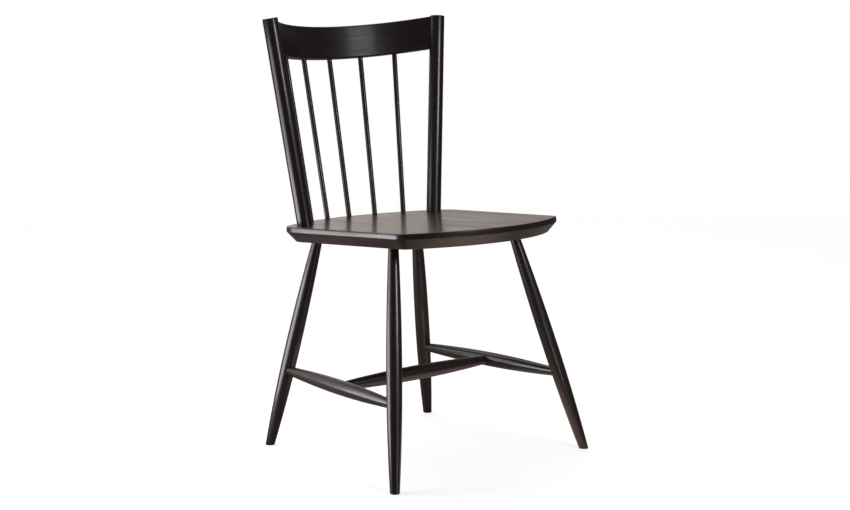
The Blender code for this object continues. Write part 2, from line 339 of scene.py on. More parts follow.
def turn_on_lathe(name: str, profile: Profile, sides: int) -> Object:
    """Spins a profile into a solid round the Z axis, closed at both ends.

    Args:
        name: the piece's name.
        profile: (height, radius) pairs from the lower end up.
        sides: the number of facets round the axis.

    Returns:
        The piece, in its own frame.
    """
    pen = Pen(name, Vector((0.0, 0.0, profile[0][0])))
    for height, radius in profile:
        pen.line_to(Vector((radius, 0.0, height)))
    pen.line_to(Vector((0.0, 0.0, profile[-1][0])))
    select_whole()
    bpy.ops.mesh.spin(steps=sides, angle=math.tau, center=(0, 0, 0), axis=UP)
    weld()
    return pen.lift()


def swollen(span: Pair, steps: int, belly_share: float, ends: Pair, belly: float) -> Profile:
    """The stations of a turning that swells along two parabolas from its ends to its belly.

    Args:
        span: the heights of its ends.
        steps: the number of stations after the first.
        belly_share: how far along it the belly is, from 0 to 1.
        ends: the radius at each end.
        belly: the radius at the belly.

    Returns:
        The stations.
    """
    stations = []
    for step in range(steps + 1):
        share = step / steps
        if share < belly_share:
            radius = belly - (belly - ends[0]) * ((belly_share - share) / belly_share) ** 2
        else:
            radius = belly - (belly - ends[1]) * ((share - belly_share) / (1 - belly_share)) ** 2
        stations.append((span[0] + (span[1] - span[0]) * share, radius))
    return stations


def mark_edges(piece: Object) -> None:
    """Stores which points lie on a rounded edge, for the wear that the finish puts there.

    Args:
        piece: the piece, before its sockets are cut.
    """
    bm = bmesh.new()
    bm.from_mesh(piece.data)
    layer = bm.verts.layers.float.new("edge")
    for vert in bm.verts:
        bent = any(edge.calc_face_angle(0.0) > EDGE_ANGLE for edge in vert.link_edges)
        vert[layer] = 1.0 if bent else 0.0
    bm.to_mesh(piece.data)
    bm.free()


def lay_grain(piece: Object, unwrap: Unwrap, seed: float) -> None:
    """Stores each point's place in the timber, with the grain along Z, for the finish to read.

    Args:
        piece: the finished piece.
        unwrap: turns a point on the chair into a point in the timber.
        seed: how far along the timber this piece was cut, so that no two pieces look alike.
    """
    grain = piece.data.attributes.new("timber", "FLOAT_VECTOR", "POINT")
    offset = Vector((seed, seed, seed))
    for vert, item in zip(piece.data.vertices, grain.data):
        item.vector = unwrap(vert.co) + offset


def smooth(piece: Object) -> None:
    """Shades a piece smooth between its sharp edges, and keeps its flat faces flat.

    Args:
        piece: the piece, in its final shape.
    """
    select_only(piece)
    bpy.ops.object.shade_smooth_by_angle(angle=SMOOTH_ANGLE)
    modifier = piece.modifiers.new("flats", "WEIGHTED_NORMAL")
    modifier.keep_sharp = True
    apply_modifier(piece, modifier)


@dataclass(frozen=True)
class Noise:
    """A noise pattern: its repeats per metre across and along the grain, its octaves and their strength."""

    across: float
    along: float
    detail: float
    roughness: float


class Sheet:
    """A node tree, with a method for each kind of node that the finishes use."""

    def __init__(self, tree: bpy.types.NodeTree) -> None:
        """Takes the tree that the nodes go into."""
        self.tree = tree

    def feed(self, node: Node, feeds: dict[str | int, Feed]) -> None:
        """Links or sets a node's inputs.

        Args:
            node: the node.
            feeds: another node's output, or a value, for each input.
        """
        for key, source in feeds.items():
            if isinstance(source, Socket):
                self.tree.links.new(source, node.inputs[key])
            else:
                node.inputs[key].default_value = source

    def add(self, kind: str, feeds: dict[str | int, Feed], **settings: str) -> Node:
        """Adds a node.

        Args:
            kind: Blender's name for the kind of node.
            feeds: what its inputs get.
            settings: its own properties.

        Returns:
            The node.
        """
        node = self.tree.nodes.new(kind)
        for name, setting in settings.items():
            setattr(node, name, setting)
        self.feed(node, feeds)
        return node

    def noise(self, place: Feed, noise: Noise, output: str = "Fac") -> Socket:
        """Adds a noise texture, drawn out along the grain.

        Args:
            place: the place in the timber.
            noise: the pattern.
            output: which of the texture's outputs to give.

        Returns:
            That output.
        """
        stretch = (noise.across, noise.across, noise.along)
        drawn = self.add("ShaderNodeVectorMath", {0: place, 1: stretch}, operation="MULTIPLY")
        feeds = {"Scale": 1.0, "Detail": noise.detail, "Roughness": noise.roughness}
        return self.add("ShaderNodeTexNoise", {"Vector": drawn.outputs[0], **feeds}).outputs[output]

    def remap(self, value: Feed, span: Pair, to: Pair) -> Socket:
        """Maps a value from the range that it comes from to another range, and clamps it there."""
        feeds = {"From Min": span[0], "From Max": span[1], "To Min": to[0], "To Max": to[1]}
        return self.add("ShaderNodeMapRange", {"Value": value, **feeds}).outputs["Result"]

    def number(self, operation: str, *values: Feed) -> Socket:
        """Adds a math node for some values and gives its result."""
        return self.add("ShaderNodeMath", dict(enumerate(values)), operation=operation).outputs[0]

    def vector(self, operation: str, *vectors: Feed) -> Socket:
        """Adds vector math that makes one number, and gives that number."""
        node = self.add("ShaderNodeVectorMath", dict(enumerate(vectors)), operation=operation)
        return node.outputs["Value"]

    def mix(self, share: Feed, first: Feed, second: Feed) -> Socket:
        """Mixes two colours by the second one's share, and gives the mixed colour."""
        ends = [end if isinstance(end, Socket) else (*end, 1.0) for end in (first, second)]
        return self.add("ShaderNodeMix", {0: share, 6: ends[0], 7: ends[1]}, data_type="RGBA").outputs[2]

    def timber(self, place: Feed) -> Node:
        """Adds the timber's group at a place in the timber."""
        node = self.tree.nodes.new("ShaderNodeGroup")
        node.node_tree = Timber().group()
        self.feed(node, {"Place": place})
        return node

    def relief(self, height: Feed, depth: float) -> Socket:
        """Turns a height into a normal, at a depth in metres."""
        return self.add("ShaderNodeBump", {"Height": height, "Distance": depth}).outputs["Normal"]


def new_material(name: str) -> tuple[bpy.types.Material, Sheet, Node]:
    """Adds a material.

    Args:
        name: its name.

    Returns:
        The material, the sheet of its nodes, and its shader.
    """
    material = bpy.data.materials.new(name)
    material.use_nodes = True
    return material, Sheet(material.node_tree), material.node_tree.nodes["Principled BSDF"]


@dataclass(frozen=True)
class Timber:
    """The figure, pores and fibre of a fine-grained hardwood, as a node group for every wood finish."""

    name: str = "timber"
    figure: Noise = Noise(55.0, 3.2, 4.0, 0.62)
    figure_span: Pair = (0.32, 0.68)
    fibre: Noise = Noise(820.0, 14.0, 2.0, 0.5)
    pores: Noise = Noise(1500.0, 85.0, 1.0, 0.4)
    pore_span: Pair = (0.60, 0.70)
    pore_relief: float = -0.4
    wander: Noise = Noise(6.0, 6.0, 1.0, 0.5)
    drift: Triple = (0.035, 0.035, 0.0)

    def group(self) -> bpy.types.NodeTree:
        """Gives the node group, built the first time.

        Returns:
            A group that turns a place in the timber into its figure, pores and surface height.
        """
        if self.name in bpy.data.node_groups:
            return bpy.data.node_groups[self.name]
        tree = bpy.data.node_groups.new(self.name, "ShaderNodeTree")
        tree.interface.new_socket("Place", in_out="INPUT", socket_type="NodeSocketVector")
        for output in ("Figure", "Pores", "Height"):
            tree.interface.new_socket(output, in_out="OUTPUT", socket_type="NodeSocketFloat")
        sheet = Sheet(tree)
        where = tree.nodes.new("NodeGroupInput").outputs["Place"]
        feeds = {0: sheet.noise(where, self.wander, "Color"), 1: self.drift, 2: where}
        shifted = sheet.add("ShaderNodeVectorMath", feeds, operation="MULTIPLY_ADD").outputs[0]
        figure = sheet.remap(sheet.noise(shifted, self.figure), self.figure_span, (0.0, 1.0))
        pores = sheet.remap(sheet.noise(shifted, self.pores), self.pore_span, (0.0, 1.0))
        height = sheet.number("MULTIPLY_ADD", pores, self.pore_relief, sheet.noise(shifted, self.fibre))
        sheet.add("NodeGroupOutput", {"Figure": figure, "Pores": pores, "Height": height})
        return tree


@dataclass(frozen=True)
class StainedFinish:
    """Near-black stain under a satin lacquer, thinned a little where edges were rubbed down."""

    name: str = "stained_lacquered_wood"
    slot: Slot = Slot.STAINED
    dark: Triple = (0.0085, 0.0066, 0.0064)
    warm: Triple = (0.019, 0.0120, 0.0105)
    rubbed: Triple = (0.045, 0.027, 0.021)
    rubbed_share: float = 0.45
    rub: Noise = Noise(90.0, 90.0, 3.0, 0.6)
    rub_span: Pair = (0.35, 0.75)
    gloss: float = 0.35
    satin: float = 0.30
    satin_spread: float = 0.12
    satin_span: Pair = (0.3, 0.7)
    sheen: Noise = Noise(190.0, 7.0, 2.0, 0.5)
    pore_dulling: float = 0.02
    relief_depth: float = 0.00001
    lacquer: float = 0.45
    lacquer_roughness: float = 0.15
    lacquer_loss: float = 0.36
    lacquer_streaks: float = 0.13
    streak_span: Pair = (0.35, 0.65)

    def material(self) -> bpy.types.Material:
        """Builds the finish, which reads each point's place in the timber.

        Returns:
            The material.
        """
        material, sheet, shader = new_material(self.name)
        where = sheet.add("ShaderNodeAttribute", {}, attribute_name="timber").outputs["Vector"]
        edge = sheet.add("ShaderNodeAttribute", {}, attribute_name="edge").outputs["Fac"]
        timber = sheet.timber(where)
        stain = sheet.mix(timber.outputs["Figure"], self.dark, self.warm)
        rub = sheet.remap(sheet.noise(where, self.rub), self.rub_span, (0.0, self.rubbed_share))
        sheen = sheet.noise(where, self.sheen)
        satin = sheet.remap(sheen, self.satin_span, (self.satin, self.satin + self.satin_spread))
        thick, thin = self.lacquer + self.lacquer_streaks, self.lacquer - self.lacquer_streaks
        streaks = sheet.remap(sheen, self.streak_span, (thick, thin))
        feeds = {
            "Base Color": sheet.mix(sheet.number("MULTIPLY", rub, edge), stain, self.rubbed),
            "Roughness": sheet.number("MULTIPLY_ADD", timber.outputs["Pores"], self.pore_dulling, satin),
            "Specular IOR Level": self.gloss,
            "Coat Weight": sheet.number("MULTIPLY_ADD", edge, -self.lacquer_loss, streaks),
            "Coat Roughness": self.lacquer_roughness,
            "Normal": sheet.relief(timber.outputs["Height"], self.relief_depth),
        }
        sheet.feed(shader, feeds)
        return material


@dataclass(frozen=True)
class BareFinish:
    """Unfinished birch, for the dowels inside the joints."""

    name: str = "bare_birch"
    slot: Slot = Slot.BARE
    pale: Triple = (0.62, 0.44, 0.27)
    honey: Triple = (0.46, 0.29, 0.16)
    roughness: float = 0.72
    relief_depth: float = 0.00008

    def material(self, name: str, turn: Vector) -> bpy.types.Material:
        """Builds the finish for one dowel.

        Args:
            name: the dowel's name, for the material's own.
            turn: the Euler angles that lay the pattern's grain along the dowel.

        Returns:
            The material.
        """
        material, sheet, shader = new_material(f"{self.name}_{name}")
        where = sheet.add("ShaderNodeTexCoord", {}).outputs["Object"]
        turned = sheet.add("ShaderNodeMapping", {"Vector": where, "Rotation": turn})
        timber = sheet.timber(turned.outputs["Vector"])
        feeds = {
            "Base Color": sheet.mix(timber.outputs["Figure"], self.pale, self.honey),
            "Roughness": self.roughness,
            "Normal": sheet.relief(timber.outputs["Height"], self.relief_depth),
        }
        sheet.feed(shader, feeds)
        return material


@dataclass(frozen=True)
class Turning:
    """What sets one turned piece apart from its like."""

    node: str
    line: Line
    holes: Iterable[Hole]
    shape: Shape | None


class Lined:
    """Pieces of one kind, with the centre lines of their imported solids."""

    def nodes(self) -> dict[Hashable, str]:
        """The names of the solids."""
        raise NotImplementedError

    def __post_init__(self) -> None:
        """Reads the centre lines."""
        self.lines = {key: centre_line(node) for key, node in self.nodes().items()}

    def turning(self, key: Hashable, holes: Iterable[Hole] = (), shape: Shape | None = None) -> Turning:
        """What sets one of the pieces apart, if it is turned."""
        return Turning(self.nodes()[key], self.lines[key], holes, shape)


class Workshop:
    """Finishes pieces alike: sockets' edges, grain, shading, stain, and the place in the frame."""

    def __init__(self) -> None:
        """Mixes the stain."""
        self.finish = StainedFinish()
        self.stain = self.finish.material()
        self.seed = 0.0

    def hand_over(self, piece: Object, node: str, unwrap: Unwrap) -> None:
        """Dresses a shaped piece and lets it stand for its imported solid.

        Args:
            piece: the piece, in its place.
            node: the solid that it stands for.
            unwrap: turns a point on the chair into a point in the timber.
        """
        self.seed += SEED_STEP
        smooth(piece)
        lay_grain(piece, unwrap, self.seed)
        piece.data.materials.clear()
        piece.data.materials.append(self.stain)
        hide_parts(node)
        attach(piece, BODY)
        LOG.info("%s stands for %s with %d faces", piece.name, node, len(piece.data.polygons))

    def turn(self, profile: Profile, sides: int, turnings: list[Turning]) -> None:
        """Turns a pattern, copies it for each piece that is alike, and sets the copies in place.

        Args:
            profile: the pattern's stations.
            sides: the number of facets round its axis.
            turnings: the pieces.
        """
        pattern = turn_on_lathe("pattern", profile, sides)
        for turning in turnings:
            select_only(pattern)
            bpy.ops.object.duplicate(linked=False)
            piece = bpy.context.object
            piece.name = piece.data.name = turning.node + "_finished"
            place(piece, turning.line.frame())
            if turning.shape is not None:
                turning.shape(piece)
            mark_edges(piece)
            drill(piece, turning.holes)
            inverse = turning.line.frame().inverted()
            self.hand_over(piece, turning.node, lambda point: inverse @ point)
        bpy.data.objects.remove(pattern, do_unlink=True)


@dataclass
class Seat:
    """The plank seat: a flat top that falls to the back, a narrow band round it and an undercut below."""

    tilt: float = math.radians(3.3)
    side_depth: float = 0.327
    front_width: float = 0.398
    back_width: float = 0.424
    front_bow: float = 0.072
    back_bow: float = 0.0755
    front_corner: float = 0.030
    back_corner: float = 0.048
    thickness: float = 0.030
    band: float = 0.010
    undercut: float = 0.018
    top_round: float = 0.002
    band_round: float = 0.0011
    under_round: float = 0.0016
    top_segments: int = 4
    segments: int = 3
    bow_steps: int = 40
    corner_steps: int = 20

    def frame(self) -> Matrix:
        """The seat's frame: XY on the flat top, the origin midway between the lines through its corners.

        Returns:
            The frame's place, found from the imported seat's box.
        """
        low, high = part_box("seat")
        reach = self.side_depth / 2 + self.front_bow
        front = low.y + self.band * math.sin(self.tilt) + reach * math.cos(self.tilt)
        top = high.z - (self.side_depth / 2 + self.front_bow - self.top_round) * math.sin(self.tilt)
        return Matrix.Translation((0.0, front, top)) @ Matrix.Rotation(-self.tilt, 4, "X")

    @staticmethod
    def bow_radius(half_width: float, depth: float) -> float:
        """The radius of an arc that rises by a depth over half a chord."""
        return (half_width**2 + depth**2) / (2 * depth)

    @staticmethod
    def corner_centre(bow: Vector, bow_radius: float, corner: Vector, along: Vector, radius: float) -> Vector:
        """Finds the centre of a corner's arc, which touches the bowed edge and the straight side.

        Args:
            bow: the bowed edge's centre.
            bow_radius: its radius.
            corner: the sharp corner.
            along: the side's direction towards the corner.
            radius: the corner's radius.

        Returns:
            The arc's centre.
        """
        outward = Vector((abs(along.y), -along.x * math.copysign(1.0, along.y), 0.0))
        start = corner - radius * outward - bow
        half = -start.dot(along)
        reach = math.sqrt(half**2 - start.length_squared + (bow_radius - radius) ** 2)
        return bow + start + (half + reach) * along

    def outline(self) -> Object:
        """Draws the right half of the plan from the front round to the back, and mirrors it.

        Returns:
            The seat's top face.
        """
        front_corner = Vector((self.front_width / 2, -self.side_depth / 2, 0.0))
        back_corner = Vector((self.back_width / 2, self.side_depth / 2, 0.0))
        front_radius = self.bow_radius(front_corner.x, self.front_bow)
        back_radius = self.bow_radius(back_corner.x, self.back_bow)
        front = Vector((0.0, front_corner.y - self.front_bow + front_radius, 0.0))
        back = Vector((0.0, back_corner.y + self.back_bow - back_radius, 0.0))
        along = (back_corner - front_corner).normalized()
        outward = Vector((along.y, -along.x, 0.0))
        first = self.corner_centre(front, front_radius, front_corner, -along, self.front_corner)
        second = self.corner_centre(back, back_radius, back_corner, along, self.back_corner)
        front_turn = math.atan2((first - front).y, (first - front).x) + math.pi / 2
        side_turn = math.atan2(outward.y, outward.x) + math.pi / 2
        back_turn = math.atan2((second - back).y, (second - back).x) + math.pi / 2
        pen = Pen("seat_finished", front - Vector((0.0, front_radius, 0.0)))
        pen.arc_about(front, front_turn, self.bow_steps)
        pen.arc_about(first, side_turn - front_turn, self.corner_steps)
        pen.line_to(second + outward * self.back_corner)
        pen.arc_about(second, back_turn - side_turn, self.corner_steps)
        pen.arc_about(back, math.pi - back_turn, self.bow_steps)
        select_whole()
        bpy.ops.mesh.symmetrize(direction="POSITIVE_X", threshold=SAME_PLACE)
        weld()
        bpy.ops.mesh.edge_face_add()
        return pen.lift()

    def build(self) -> Object:
        """Gives the plan its thickness, band and undercut, and rounds the edges.

        Returns:
            The seat in its own frame, without sockets.
        """
        piece = self.outline()
        slant = -math.sin(math.atan2(self.undercut, self.thickness - self.band))
        levels = (
            (0.0, self.top_round, self.top_segments),
            (-self.band, self.band_round, self.segments),
            (-self.thickness, self.under_round, self.segments),
        )
        regions = (
            (FACING, math.inf),
            (-UPRIGHT, UPRIGHT),
            (slant - SLANT_SLACK, slant + SLANT_SLACK),
            (-math.inf, -FACING),
        )
        with editing(piece):
            bpy.ops.mesh.extrude_region_move(TRANSFORM_OT_translate={"value": (0.0, 0.0, -self.band)})
            bpy.ops.mesh.inset(thickness=self.undercut, use_even_offset=True)
            bpy.ops.transform.translate(value=(0.0, 0.0, self.band - self.thickness))
            select_whole()
            bpy.ops.mesh.normals_make_consistent(inside=False)
            for level, rounding, segments in levels:
                select_where(piece, Kind.EDGE, on_level(level))
                bpy.ops.mesh.bevel(offset=rounding, segments=segments, affect="EDGES", clamp_overlap=True)
            for low, high in regions:
                select_where(piece, Kind.FACE, partial(self.slopes, low, high))
                bpy.ops.mesh.inset(thickness=SUPPORT, use_even_offset=True)
        return piece

    @staticmethod
    def slopes(low: float, high: float, face: bmesh.types.BMFace) -> bool:
        """Tells whether the upward part of a face's normal lies between two bounds."""
        return low < face.normal.z < high

    def fit(self, shop: Workshop, sockets: list[Hole]) -> None:
        """Places the seat, cuts its sockets and dresses it.

        Args:
            shop: the workshop that finishes it.
            sockets: the centre line and the diameter of each piece that stands in the seat.
        """
        piece = self.build()
        mark_edges(piece)
        where = self.frame()
        place(piece, where)
        drill(piece, sockets)
        inverse = where.inverted()
        front_to_back = Matrix.Rotation(math.pi / 2, 4, "X")
        shop.hand_over(piece, "seat", lambda point: front_to_back @ (inverse @ point))


@dataclass
class Legs(Lined):
    """Four splayed legs, turned with a belly near the middle and cut level with the floor."""

    foot: float = 0.0178
    belly: float = 0.0294
    belly_share: float = 0.48
    tenon: float = 0.0195
    tenon_depth: float = 0.019
    neck: float = 0.005
    foot_round: float = 0.0007
    sides: int = 72
    stations: int = 44

    def nodes(self) -> dict[tuple[Row, Hand], str]:
        """The names of the legs' solids."""
        return {(row, hand): f"leg_{row.value}_{hand.word}" for row in Row for hand in Hand}

    def profile(self, line: Line) -> Profile:
        """Works out a leg's stations from its foot, drawn out past the floor, to its tenon's tip.

        Args:
            line: its centre line.

        Returns:
            The stations.
        """
        floor = (line.at_height(0.0) - line.start).length
        shoulder = line.length - self.tenon_depth - self.neck
        radii = (self.foot / 2, self.tenon / 2)
        middle = swollen((floor, shoulder), self.stations, self.belly_share, radii, self.belly / 2)
        return [(-radii[0], radii[0]), *middle, (line.length, radii[1])]

    def cut_level(self, piece: Object) -> None:
        """Cuts a placed leg level with the floor and eases the cut's edge.

        Args:
            piece: the leg.
        """
        with editing(piece):
            bpy.ops.mesh.bisect(plane_co=(0, 0, 0), plane_no=UP, use_fill=True, clear_inner=True)
            select_where(piece, Kind.EDGE, on_level(0.0))
            bpy.ops.mesh.bevel(offset=self.foot_round, segments=1, affect="EDGES")

    def fit(self, shop: Workshop, bars: dict[Hand, Line], bar_diameter: float) -> None:
        """Turns the front and the back legs and sets them in place.

        Args:
            shop: the workshop that finishes them.
            bars: the centre line of the side stretcher on each hand.
            bar_diameter: the diameter of its ends.
        """
        for row in Row:
            legs = [self.turning((row, hand), [(bars[hand], bar_diameter)], self.cut_level) for hand in Hand]
            shop.turn(self.profile(self.lines[row, Hand.LEFT]), self.sides, legs)


@dataclass
class Stretchers(Lined):
    """Two side stretchers from leg to leg, and one across between their bellies."""

    end: float = 0.0175
    belly: float = 0.0287
    belly_share: float = 0.5
    neck: float = 0.0217
    tip_round: float = 0.0008
    sides: int = 64
    stations: int = 36

    def nodes(self) -> dict[Hand | str, str]:
        """The names of the stretchers' solids."""
        return {hand: f"side_stretcher_{hand.word}" for hand in Hand} | {"cross": "cross_stretcher"}

    def profile(self, length: float) -> Profile:
        """Works out a stretcher's stations between its chamfered tips.

        Args:
            length: its length.

        Returns:
            The stations.
        """
        end, tip = self.end / 2, self.end / 2 - self.tip_round
        span = (self.neck, length - self.neck)
        middle = swollen(span, self.stations, self.belly_share, (end, end), self.belly / 2)
        return [(0.0, tip), (self.tip_round, end), *middle, (length - self.tip_round, end), (length, tip)]

    def fit(self, shop: Workshop) -> None:
        """Turns the stretchers and sets them in place.

        Args:
            shop: the workshop that finishes them.
        """
        cross = self.lines["cross"]
        bars = [self.turning(hand, [(cross, self.end)]) for hand in Hand]
        shop.turn(self.profile(self.lines[Hand.LEFT].length), self.sides, bars)
        shop.turn(self.profile(cross.length), self.sides, [self.turning("cross")])


@dataclass
class Posts(Lined):
    """Two round back posts, which stand on the seat by a shoulder and end level with the crest rail."""

    diameter: float = 0.0297
    tenon: float = 0.022
    tenon_depth: float = 0.020
    drill_length: float = 0.040
    top_round: float = 0.0012
    top_steps: int = 4
    runs: int = 24
    sides: int = 80

    def nodes(self) -> dict[Hand, str]:
        """The names of the posts' solids."""
        return {hand: f"back_post_{hand.word}" for hand in Hand}

    def profile(self, length: float) -> Profile:
        """Works out a post's stations from its tenon's tip, at full diameter, to its rounded top.

        Args:
            length: its length.

        Returns:
            The stations.
        """
        straight = length - self.top_round
        stations = [(straight * run / self.runs, self.diameter / 2) for run in range(self.runs + 1)]
        for step in range(1, self.top_steps + 1):
            turn = math.pi / 2 * step / self.top_steps
            rise = self.top_round * math.sin(turn)
            stations.append((straight + rise, self.diameter / 2 - self.top_round * (1 - math.cos(turn))))
        return stations

    def sockets(self) -> list[Hole]:
        """The holes that the tenons need in the seat, drilled from above its top."""
        return [(line.first(self.drill_length), self.tenon) for line in self.lines.values()]

    def shoulder(self, seat: Matrix, line: Line, piece: Object) -> None:
        """Cuts a placed post along the seat's top and draws the tenon out of the cut.

        Args:
            seat: the seat's frame.
            line: the post's centre line, which starts at the tenon's tip.
            piece: the post.
        """
        up = seat.to_3x3() @ UP
        with editing(piece):
            plane = seat.translation + up * CLEARANCE
            bpy.ops.mesh.bisect(plane_co=plane, plane_no=up, use_fill=True, clear_inner=True)
            select_where(piece, Kind.FACE, lambda face: face.normal.dot(up) < -FACING)
            bpy.ops.mesh.inset(thickness=(self.diameter - self.tenon) / 2, use_even_offset=True)
            down = line.along * -(self.tenon_depth - CLEARANCE)
            bpy.ops.mesh.extrude_region_move(TRANSFORM_OT_translate={"value": down})

    def fit(self, shop: Workshop, seat: Matrix, dowels: Dowels) -> None:
        """Turns the posts and sets them in place.

        Args:
            shop: the workshop that finishes them.
            seat: the seat's frame.
            dowels: the dowels that hold the crest rail in them.
        """
        posts = []
        for hand, line in self.lines.items():
            posts.append(self.turning(hand, dowels.holes(hand), partial(self.shoulder, seat, line)))
        shop.turn(self.profile(self.lines[Hand.LEFT].length), self.sides, posts)


@dataclass
class Spindles(Lined):
    """Five thin straight spindles between the seat and the crest rail."""

    count: int = 5
    diameter: float = 0.010
    tip_round: float = 0.0008
    runs: int = 16
    sides: int = 40

    def nodes(self) -> dict[int, str]:
        """The names of the spindles' solids, numbered from the sitter's right."""
        return {number: f"spindle_{number}" for number in range(1, self.count + 1)}

    def holes(self) -> list[Hole]:
        """The holes that the spindles need in the seat and in the rail."""
        return [(line, self.diameter) for line in self.lines.values()]

    def profile(self, length: float) -> Profile:
        """Works out a spindle's stations between its chamfered tips.

        Args:
            length: its length.

        Returns:
            The stations.
        """
        radius, tip = self.diameter / 2, self.diameter / 2 - self.tip_round
        run = (length - 2 * self.tip_round) / self.runs
        middle = [(self.tip_round + run * count, radius) for count in range(self.runs + 1)]
        return [(0.0, tip), *middle, (length, tip)]

    def fit(self, shop: Workshop) -> None:
        """Turns the spindles in the workshop that finishes them, and sets them in place."""
        for number, line in self.lines.items():
            shop.turn(self.profile(line.length), self.sides, [self.turning(number)])


@dataclass
class CrestRail:
    """The crest rail: a rounded band bent to an arc that leans back, with its ends coped round the posts."""

    posts: Posts
    set_down: float = 0.0004
    height: float = 0.0651
    thickness: float = 0.020
    bow: float = 0.1019
    lean: float = math.radians(12.4)
    edge_round: float = 0.003
    edge_steps: int = 6
    flat_cuts: int = 5
    arc_steps: int = 112
    name: str = "crest_rail"

    def frame(self) -> Matrix:
        """The rail's frame: XY holds its arc at mid-height, and X passes through the posts' lines."""
        meeting = self.meeting()
        return Matrix.Translation((0.0, meeting.y, meeting.z)) @ Matrix.Rotation(-self.lean, 4, "X")

    def meeting(self) -> Vector:
        """Finds where the rail's arc meets the left post's centre line."""
        line = self.posts.lines[Hand.LEFT]
        return line.at_height(line.end.z - self.set_down - self.height / 2 * math.cos(self.lean))

    def radius(self) -> float:
        """The radius of the rail's arc at the middle of its thickness."""
        return Seat.bow_radius(self.meeting().x, self.bow)

    def build(self) -> Object:
        """Rounds a section's corners and spins it along the arc.

        Returns:
            The rail in its own frame, running to the posts' centre lines.
        """
        radius = self.radius()
        half_turn = math.asin(self.meeting().x / radius)
        centre = Vector((0.0, self.bow - radius, 0.0))
        middle = Vector((0.0, self.bow, 0.0))
        piece = add_plane(self.name + "_finished", 1.0, middle, (0.0, math.pi / 2, 0.0))
        with editing(piece):
            bpy.ops.transform.resize(value=(1.0, self.thickness, self.height), center_override=middle)
            bpy.ops.mesh.select_mode(type="VERT")
            bpy.ops.mesh.bevel(offset=self.edge_round, segments=self.edge_steps, affect="VERTICES")
            flat = self.thickness / 2 - self.edge_round - SAME_PLACE
            select_where(piece, Kind.EDGE, lambda edge: edge.calc_length() > flat)
            bpy.ops.mesh.subdivide(number_cuts=self.flat_cuts)
            select_whole()
            bpy.ops.transform.rotate(value=half_turn, orient_axis="Z", center_override=centre)
            bpy.ops.mesh.spin(steps=self.arc_steps, angle=-2 * half_turn, center=centre, axis=UP)
            weld()
        return piece

    def unwrap(self, point: Vector) -> Vector:
        """Turns a point on the chair into a point in the timber, whose grain follows the arc.

        Args:
            point: a point on the rail.

        Returns:
            Its place in the straight plank that the rail was bent from.
        """
        radius = self.radius()
        local = self.frame().inverted() @ point
        from_centre = Vector((local.x, local.y - self.bow + radius))
        along = radius * math.atan2(from_centre.x, from_centre.y)
        return Vector((local.z, from_centre.length - radius, along))

    def fit(self, shop: Workshop, spindles: Spindles, dowels: Dowels) -> None:
        """Places the rail, copes its ends, cuts its sockets and dresses it.

        Args:
            shop: the workshop that finishes it.
            spindles: the spindles that stand in it.
            dowels: the dowels in its ends.
        """
        piece = self.build()
        mark_edges(piece)
        place(piece, self.frame())
        posts = self.posts.lines.values()
        drill(piece, [(line.drawn_out(self.thickness), self.posts.diameter) for line in posts])
        drill(piece, spindles.holes())
        drill(piece, dowels.holes(Hand.LEFT) + dowels.holes(Hand.RIGHT))
        shop.hand_over(piece, self.name, self.unwrap)


@dataclass
class Dowels(Lined):
    """The loose dowels that hold the crest rail's ends in the posts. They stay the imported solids."""

    diameter: float = 0.008
    levels: tuple[str, str] = ("lower", "upper")

    def nodes(self) -> dict[tuple[Hand, str], str]:
        """The names of the dowels' solids."""
        return {(hand, level): f"rail_dowel_{hand.word}_{level}" for hand in Hand for level in self.levels}

    def holes(self, hand: Hand) -> list[Hole]:
        """The holes that one hand's dowels need."""
        return [(self.lines[hand, level], self.diameter) for level in self.levels]

    def fit(self) -> None:
        """Gives each dowel its bare wood, with the grain along it."""
        finish = BareFinish()
        for key, line in self.lines.items():
            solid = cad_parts[self.nodes()[key]]
            turn = line.frame().inverted().to_euler()
            solid.data.materials.clear()
            solid.data.materials.append(finish.material(solid.name, turn))
            LOG.info("%s keeps its packed solid", solid.name)


@dataclass(frozen=True)
class Softbox:
    """A rectangular studio lamp that the camera doesn't see."""

    name: str
    place: Triple
    aim: Triple
    width: float
    height: float
    power: float
    colour: Triple
    spread: float = 180.0

    def hang(self) -> None:
        """Adds the lamp."""
        lamp = bpy.data.lights.new(self.name, "AREA")
        lamp.shape = "RECTANGLE"
        lamp.size = self.width
        lamp.size_y = self.height
        lamp.energy = self.power
        lamp.color = self.colour
        lamp.spread = math.radians(self.spread)
        holder = bpy.data.objects.new(self.name, lamp)
        bpy.context.scene.collection.objects.link(holder)
        holder.location = self.place
        holder.rotation_euler = (Vector(self.aim) - Vector(self.place)).to_track_quat("-Z", "Y").to_euler()
        holder.visible_camera = False


